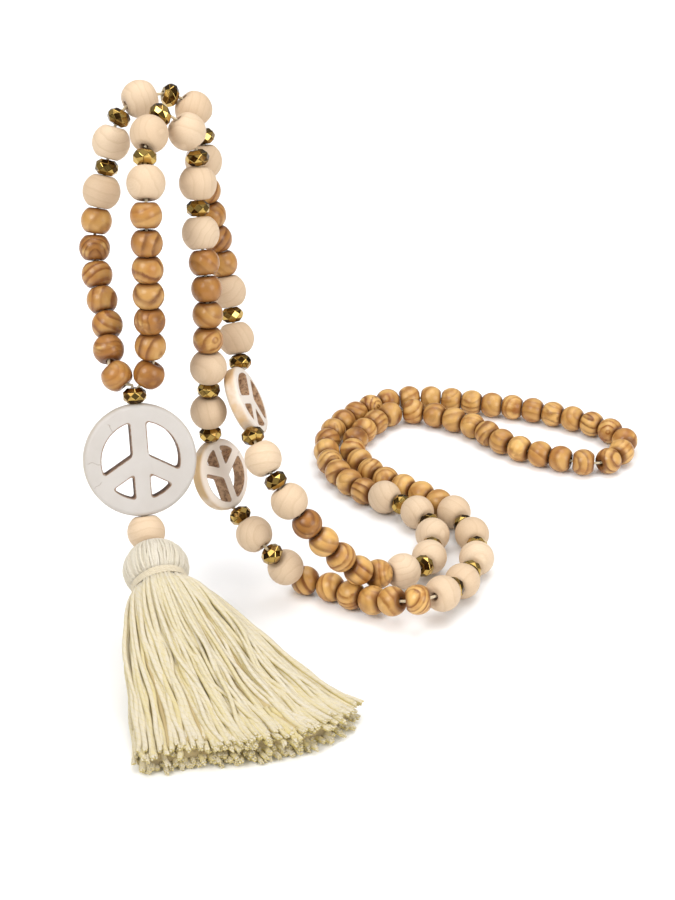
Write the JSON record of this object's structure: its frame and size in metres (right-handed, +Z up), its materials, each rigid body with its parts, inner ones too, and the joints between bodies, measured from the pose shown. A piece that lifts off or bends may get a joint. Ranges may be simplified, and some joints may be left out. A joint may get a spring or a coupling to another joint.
{
  "type": "tassel necklace",
  "caption": "Long necklace of pine and natural wooden beads with gold rondelles, pierced stone peace-sign discs and a cream thread tassel, hung doubled with its end on the floor",
  "frame": {"origin": "hang point at the top of the doubled string, where it is held up 128 mm over the floor that its lower half lies on", "axes": "+Z up, +X to the right as seen from the tassel's side, +Y to the back, away from the tassel"},
  "size_m": [0.1662, 0.2019, 0.138],
  "materials": {
    "pine_wood": "semi-gloss varnish, visible rings",
    "natural_wood": "matt, faint grain",
    "gold": "antique gold, faceted and shiny",
    "pale_stone": "smooth matt with fine cracks",
    "side_stone": "smooth matt, tan rim",
    "tassel_thread": "matt cotton thread",
    "binding_thread": "matt cotton thread",
    "string": "matt twisted thread"
  },
  "bodies": {
    "root": {"pendant_disc": "pale_stone", "side_disc_front": "side_stone", "side_disc_back": "side_stone", "pendant_spacer": "gold", "tassel_bead": "natural_wood", "tassel": "tassel_thread", "tassel_binding": "binding_thread", "pine_beads_left": "pine_wood", "pine_beads_right": "pine_wood", "natural_beads_left": "natural_wood", "natural_beads_right": "natural_wood", "gold_beads_left": "gold", "gold_beads_right": "gold", "thread": "string"}
  },
  "joints": []
}
